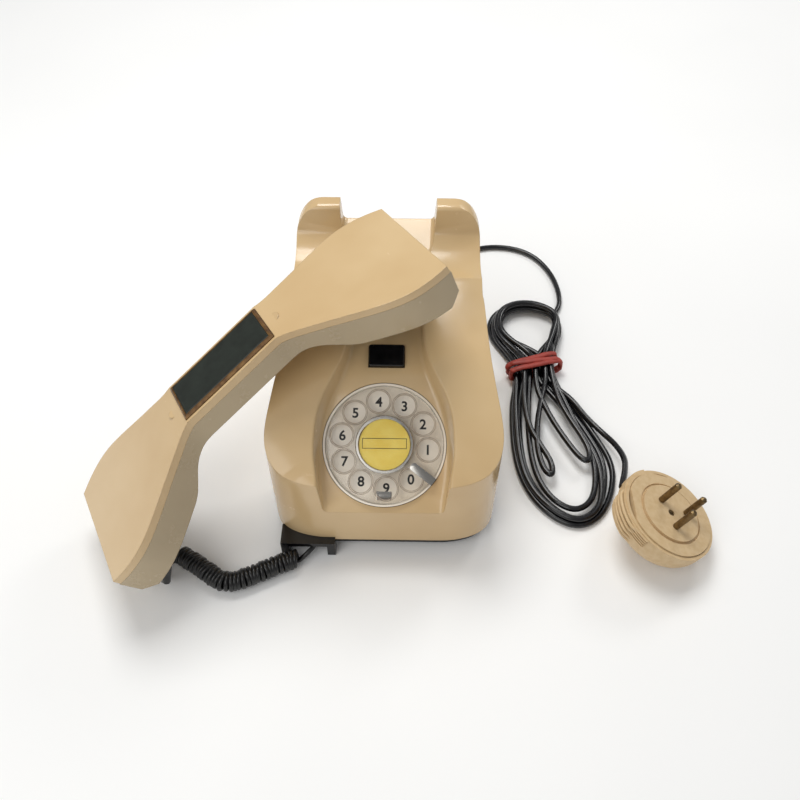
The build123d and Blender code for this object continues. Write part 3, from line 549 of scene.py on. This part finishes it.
def softened(node, width, slot, body):
    """A copy of a CAD piece with every sharp edge rounded, in its place."""
    piece = copy_of(node, node + "_rounded")
    round_edges(piece, sharp_edges(piece, 30, lambda p: True), width, 3)
    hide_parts(node)
    return finish_piece(piece, node + "_rounded", slot, body)


def clear_cover():
    """The clear disc over the card, lifted a hair so that it doesn't share the card's face."""
    cover = copy_of("card_cover", "card_cover_clear")
    hair = (DIAL.to_3x3() @ Vector((0, 0, 1))).normalized() * 0.12 * MM
    cover.data.transform(Matrix.Translation(hair))
    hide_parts("card_cover")
    return finish_piece(cover, "card_cover_clear", "cover_clear", "finger_wheel")


def plug_ribs():
    """The grip ribs on the plug's cord side: five closed rings, standing proud only over the grip."""
    rings = []
    for i in range(5):
        depth = 3.0 + 3.1 * i
        wall = 31.0 * math.sqrt(1 - (max(depth - 8, 0) / 22) ** 2)
        bpy.ops.object.select_all(action="DESELECT")
        bpy.ops.mesh.primitive_torus_add(major_segments=120, minor_segments=12,
                                         major_radius=wall - 2.2, minor_radius=0.95)
        ring = bpy.context.object
        for v in ring.data.vertices:
            around = math.degrees(math.atan2(v.co.y, v.co.x)) % 360
            share = max(0.0, 1 - abs(around - 186) / 36)
            out = 1 + (4.6 - 0.3 * i) * min(1.0, 2.2 * share) / wall
            v.co.x, v.co.y = v.co.x * out, v.co.y * out
        settle(ring, PLUG @ Matrix.Translation((0, 0, -depth)))
        rings.append(ring)
    only(rings[0])
    for ring in rings:
        ring.select_set(True)
    bpy.ops.object.join()
    return finish_piece(rings[0], "plug_grip_ribs", "plug_beige", "root", smooth=60)


def casing_piece():
    piece = copy_of("casing", "casing_rounded")

    def on_outer_top(p):
        outside = abs(p.x) > 56.5 or p.y < -83 or p.y > 84 or p.z > 121
        return outside and p.z > 60
    round_edges(piece, sharp_edges(piece, 30, on_outer_top), 1.6, 4)
    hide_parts("casing")
    return finish_piece(piece, "casing_rounded", "casing_plastic", "root", smooth=28)


def red_tie():
    """The rubber band twisted three times round the hank, each wrap at its own slant."""
    wraps = []
    for slide, lean, swell in ((-3.6, 4.0, 1.0), (0.2, -3.0, 1.03), (3.4, 7.0, 0.98)):
        bpy.ops.object.select_all(action="DESELECT")
        bpy.ops.mesh.primitive_torus_add(major_segments=72, minor_segments=12,
                                         major_radius=1, minor_radius=0.1)
        wrap = bpy.context.object
        for v in wrap.data.vertices:
            around = math.atan2(v.co.y, v.co.x)
            out = math.hypot(v.co.x, v.co.y) - 1
            fold = 0.3 * math.sin(9 * around + slide) + 0.2 * math.sin(17 * around)
            width, height = 19.6 * swell + 12 * out + fold, 6.6 * swell + 12 * out + 0.5 * fold
            flat = math.copysign(abs(math.cos(around)) ** 0.7, math.cos(around))
            tall = math.copysign(abs(math.sin(around)) ** 0.7, math.sin(around))
            v.co = (width * flat, v.co.z * 22 + slide + 0.5 * math.sin(3 * around),
                    max(height * tall, -7.0))
        settle(wrap, Matrix.Translation(TIE_AT * MM) @ Matrix.Scale(MM, 4)
               @ Matrix.Rotation(TIE_TURN + math.radians(lean), 4, "Z"))
        wraps.append(wrap)
    only(wraps[0])
    for wrap in wraps:
        wrap.select_set(True)
    bpy.ops.object.join()
    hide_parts("cord_tie")
    return finish_piece(wraps[0], "red_band", "tie_red", "root", smooth=60)


# ---------------------------------------------------------------- stage
def make_stage():
    bpy.ops.object.select_all(action="DESELECT")
    bpy.ops.mesh.primitive_plane_add(size=6, location=(0, 0, 0))
    floor = bpy.context.object
    floor.name = "floor"
    material, shader, where = new_material("pale_floor", Roughness=0.85)
    drift = add(material, "ShaderNodeTexNoise", {"Vector": where}, Scale=3.0)
    tone = add(material, "ShaderNodeValToRGB", {"Fac": drift.outputs["Fac"]},
               tones=[(0.35, colour("#F7F7F7")), (0.65, colour("#FBFBFB"))])
    link(material, tone.outputs["Color"], shader.inputs["Base Color"])
    floor.data.materials.append(material)

    def lamp(name, place, target, size, power, warm=1.0):
        data = bpy.data.lights.new(name, "AREA")
        data.size, data.energy = size, power
        data.color = (1, warm, warm * 0.98)
        light = bpy.data.objects.new(name, data)
        light.location = place
        light.rotation_euler = (Vector(target) - Vector(place)).to_track_quat("-Z", "Y").to_euler()
        bpy.context.scene.collection.objects.link(light)

    lamp("key_light", (-0.2, 0.55, 1.3), (0, 0, 0.05), 0.7, 11)
    lamp("fill_light", (-0.5, -0.7, 0.9), (0, 0, 0.05), 0.8, 4.2)
    lamp("window", (0.75, 0.9, 0.9), (0.03, 0.03, 0.1), 0.35, 3)
    world = bpy.data.worlds.new("pale_room")
    world.use_nodes = True
    world.node_tree.nodes["Background"].inputs["Color"].default_value = (1, 1, 1, 1)
    world.node_tree.nodes["Background"].inputs["Strength"].default_value = 0.34
    bpy.context.scene.world = world
    bpy.context.scene.view_settings.view_transform = "Standard"


make_camera()
MATERIALS = make_materials()
red_tie()
plug_ribs()
cords = [curly_cord(), line_cord()]
cords[0].data.materials.append(MATERIALS["cord_black"])
cords[1].data.materials.append(MATERIALS["line_cord_black"])
for part in frame["record"]["subparts"]:
    node = NODES[part["node"]]
    node.data.materials.clear()
    node.data.materials.append(MATERIALS[part["material_slot"]])
casing_piece()
digits()
card_lines()
hole_rims()
clear_cover()
softened("recall_key", 1.3, "black_plastic", "recall_key")
softened("finger_stop", 0.35, "chrome_trim", "root")
softened("dial_latch", 0.3, "chrome_trim", "root")
make_stage()
for piece in list(bpy.data.objects):
    piece.select_set(False)
bpy.context.view_layer.update()
